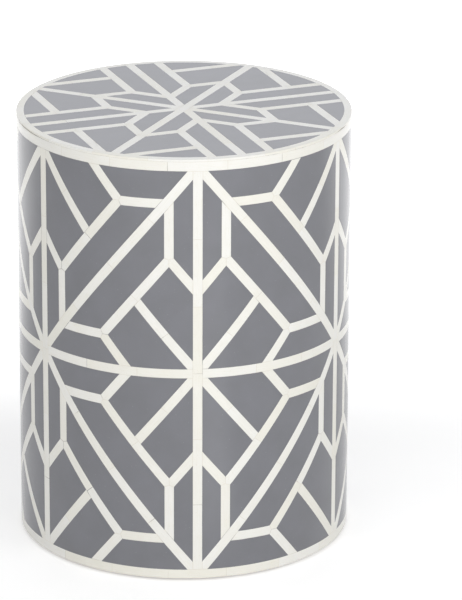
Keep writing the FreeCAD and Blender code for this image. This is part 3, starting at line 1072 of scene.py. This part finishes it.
@dataclass
class Carcass:
    """Boards, bent panels, battens, fasteners and glides, which keep their solids."""

    finishes: dict[str, Finish] = field(default_factory=lambda: {
        "screws": STEEL, "brads": STEEL, "nails": STEEL, "board": FIBREBOARD, "ring": FIBREBOARD,
        "shell_panel": BENT_BOARD, "batten": SOFTWOOD, "glide": NYLON})

    def dress(self) -> Iterator[Object]:
        """Give every carcass node its finish, by the first of these words that its name holds.

        Yields:
            The dressed nodes.
        """
        for name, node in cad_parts.items():
            found = [finish for word, finish in self.finishes.items() if word in name]
            if found:
                clothe(node, found[0].material())
                yield node


@dataclass
class Studio:
    """Pale floor, white surroundings, soft lights and the camera.

    Lengths are in metres, and those of the floor's ramps are counted from the table's axis. Azimuths are in
    degrees to the right of the camera, round the table. A glow or a light of 1 is white.
    """

    # Floor, which glows more far out. Painted light: it also glows more behind the table, which the resin's
    # edges mirror, and in a painted pool of light in front, mirrored as a painted highlight on the resin
    floor_half_size: float = 8.0
    floor_paper: str = "#ECECEC"
    floor_glow: Ramp = Ramp(0.0, 1.0, low=0.4, high=1.0)
    # Painted light: the floor glows more behind the table, so that the resin's edges mirror a brighter floor
    behind: Ramp = Ramp(0.2, 0.85)
    far_out: Ramp = Ramp(1.6, 3.0)
    # Painted pool of light on the floor in front, which the resin's side mirrors as a painted highlight
    # streak
    painted_pool_azimuth: float = 17.0
    painted_pool_edge: Ramp = Ramp(math.cos(math.radians(13)), math.cos(math.radians(3)))
    painted_pool_start: Ramp = Ramp(0.18, 0.4)
    painted_pool_end: Ramp = Ramp(2.0, 0.3)
    # Light of the surroundings on the table, and where they are seen
    surroundings: Ramp = Ramp(0.0, 1.0, low=0.38, high=1.0)
    lamp_distance: float = 2.6
    # Camera, fitted to the photograph's outlines
    camera_turn: float = math.radians(-4.58)
    camera_distance: float = 4.2
    camera_height: float = 1.7593
    camera_pitch: float = 0.3455
    camera_reach: float = 100.0
    focal_pixels: float = 4215.0
    axis_pixel: float = 184.0
    sensor: float = 36.0

    def build(self) -> None:
        """Make the floor, the world, the lights and the camera."""
        self.lay_floor()
        self.light_world()
        self.add_softbox("key_softbox", azimuth=38, elevation=28, size=(2.8, 2.0), radiance=1.66)
        self.add_softbox("fill_softbox", azimuth=-22, elevation=24, size=(2.2, 1.6), radiance=1.8)
        self.add_softbox("rear_softbox", azimuth=180, elevation=14, size=(2.2, 1.6), radiance=1.2)
        self.add_softbox("back_softbox", azimuth=180, elevation=24, size=(3.5, 1.7), radiance=0.46,
                         colour="#E4E9F7", mirrored=True)
        self.set_camera()

    def towards(self, azimuth: float, elevation: float = 0.0) -> Vector:
        """Direction away from the table, of length one, by degrees to the right and upwards."""
        turn, rise = self.camera_turn + math.radians(azimuth), math.radians(elevation)
        return Vector((math.sin(turn) * math.cos(rise), -math.cos(turn) * math.cos(rise), math.sin(rise)))

    def seen(self, tree: NodeTree) -> NodeSocket:
        """Number that is 1 for camera, glossy and transmission rays and 0 for the rays that carry light.

        Args:
            tree: Node tree of the floor's material or of the world.

        Returns:
            Socket of the number.
        """
        path = add_node(tree, "LightPath").outputs
        seen = path["Is Camera Ray"]
        for ray in ("Is Glossy Ray", "Is Transmission Ray"):
            seen = add_node(tree, "Math", {0: seen, 1: path[ray]}, operation="MAXIMUM").outputs[0]
        return seen

    def lay_floor(self) -> None:
        """Lay the floor: pale paper that takes the table's shade and is lifted to white where it is seen."""
        half = self.floor_half_size
        corners = [(-half, -half, 0), (half, -half, 0), (half, half, 0), (-half, half, 0)]
        mesh = bpy.data.meshes.new("studio_floor")
        mesh.from_pydata(corners, [], [(0, 1, 2, 3)])
        floor = add_object("studio_floor", mesh)
        floor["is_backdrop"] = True
        material = bpy.data.materials.new("studio_paper_matt_white")
        material.use_nodes = True
        tree = material.node_tree
        tree.nodes.clear()
        paper = add_node(tree, "BsdfDiffuse", {"Color": linear(self.floor_paper)})
        strength = add_node(tree, "Math", {0: self.seen(tree), 1: self.glow(tree)}, operation="MULTIPLY")
        lift = add_node(tree, "Emission", {"Strength": strength.outputs[0]})
        lifted = add_node(tree, "AddShader", {0: paper.outputs[0], 1: lift.outputs[0]})
        add_node(tree, "OutputMaterial", {"Surface": lifted.outputs[0]})
        mesh.materials.append(material)

    def glow(self, tree: NodeTree) -> NodeSocket:
        """How much the floor is lifted: most far out, behind the table and in a painted pool of light in
        front.

        Each share is a smooth step from 0 to 1: of the distance behind the table's axis, of the distance
        from the axis, and for the pool of the cosine of the angle from its direction, times a step up near
        the table, times a step down further out. The largest share counts. The lift behind the table and the
        pool are painted light on the floor, which the resin mirrors as brighter edges and a painted
        highlight.

        Args:
            tree: Node tree of the floor's material.

        Returns:
            Socket of the strength.
        """
        place = add_node(tree, "TexCoord").outputs["Object"]
        radius = add_node(tree, "VectorMath", {0: place}, operation="LENGTH").outputs["Value"]
        level = add_node(tree, "VectorMath", {0: place}, operation="NORMALIZE").outputs["Vector"]
        depth, cosine = (add_node(tree, "VectorMath", {0: vector, 1: self.towards(azimuth)},
                                  operation="DOT_PRODUCT").outputs["Value"]
                         for vector, azimuth in ((place, 180.0), (level, self.painted_pool_azimuth)))
        ramps = ((cosine, self.painted_pool_edge), (radius, self.painted_pool_start), (radius, self.painted_pool_end),
                 (depth, self.behind), (radius, self.far_out))
        share, *others = (add_node(tree, "MapRange", ramp.feeds(value),
                                   interpolation_type="SMOOTHSTEP").outputs[0] for value, ramp in ramps)
        for other, operation in zip(others, ("MULTIPLY", "MULTIPLY", "MAXIMUM", "MAXIMUM")):
            share = add_node(tree, "Math", {0: share, 1: other}, operation=operation).outputs[0]
        return add_node(tree, "MapRange", self.floor_glow.feeds(share)).outputs[0]

    def light_world(self) -> None:
        """Surround the table with even light that is seen as white."""
        world = bpy.data.worlds.new("studio_surroundings")
        world.use_nodes = True
        bpy.context.scene.world = world
        tree = world.node_tree
        tree.nodes.clear()
        strength = add_node(tree, "MapRange", self.surroundings.feeds(self.seen(tree)))
        light = add_node(tree, "Background", {"Strength": strength.outputs[0], "Color": linear("#FFFFFF")})
        add_node(tree, "OutputWorld", {"Surface": light.outputs[0]})

    def add_softbox(self, name: str, azimuth: float, elevation: float, size: tuple[float, float],
                    radiance: float, colour: str = "#FFFFFF", mirrored: bool = False) -> None:
        """Hang a softbox that looks at the middle of the table.

        Args:
            name: Name of the light.
            azimuth: Degrees to the right of the camera, round the table.
            elevation: Degrees above the table's middle.
            size: Width and height.
            radiance: Brightness of its face, where 1 is white.
            colour: Colour of its light.
            mirrored: Whether polished surfaces mirror it. Where they don't, they mirror the white behind it.
        """
        light = bpy.data.lights.new(name, "AREA")
        light.shape = "RECTANGLE"
        light.size, light.size_y = size
        light.energy = radiance * math.pi * size[0] * size[1]
        light.color = linear(colour)[:3]
        lamp = add_object(name, light)
        away = self.towards(azimuth, elevation)
        lamp.location = (CAD_BOX[0] + CAD_BOX[1]) / 2 + away * self.lamp_distance
        lamp.rotation_euler = away.to_track_quat("Z", "Y").to_euler()
        lamp.visible_camera = False
        lamp.visible_glossy = mirrored

    def set_camera(self) -> None:
        """Stand the camera at the photograph's angle, shifted sideways as its framing is."""
        data = bpy.data.cameras.new("studio_camera")
        data.sensor_width = self.sensor
        data.lens = self.focal_pixels * self.sensor / IMAGE_HEIGHT
        data.shift_x = (IMAGE_WIDTH / 2 - self.axis_pixel) / IMAGE_HEIGHT
        data.clip_end = self.camera_reach
        camera = add_object("studio_camera", data)
        camera.location = self.towards(0.0) * self.camera_distance + Vector((0, 0, self.camera_height))
        camera.rotation_euler = (math.pi / 2 - self.camera_pitch, 0, self.camera_turn)
        bpy.context.scene.camera = camera


def inlay_names(side: str) -> list[str]:
    """Names of the inlay nodes that start with this word, in order, without the top's ring."""
    return sorted(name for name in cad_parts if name.startswith(side)
                  and name.endswith(("bones", "resin")) and name != TopRim.name)


def write_sizes() -> None:
    """Gather the CAD box and the visual model's box as lists of corners, and keep nothing."""
    boxes = {"cad": CAD_BOX, "visual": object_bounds()}
    {name: [list(corner) for corner in box] for name, box in boxes.items()}


def main() -> None:
    """Build the inlay, dress the carcass, set up the studio and report each piece."""
    logging.basicConfig(level=logging.INFO, format="%(message)s")
    bpy.context.scene.view_settings.view_transform = "Standard"
    outside = CAD_BOX[1]
    shell_radius = max(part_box(name)[1].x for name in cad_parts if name.startswith("shell_panel"))
    side_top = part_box("top_board")[1].z
    side = RoundSide(outside.x - shell_radius, outside.x)
    top = FlatTop(outside.z - side_top, outside.z)
    for assembly in (Inlay(side, inlay_names("side")), Inlay(top, inlay_names("top"), seed=8), TopRim()):
        for piece in assembly.build():
            logging.info("built %s with %d faces", piece.name, len(piece.data.polygons))
    for node in Carcass().dress():
        logging.info("dressed %s as %s", node.name, node.data.materials[0].name)
    Studio().build()
    write_sizes()


if __name__ == "__main__":
    main()
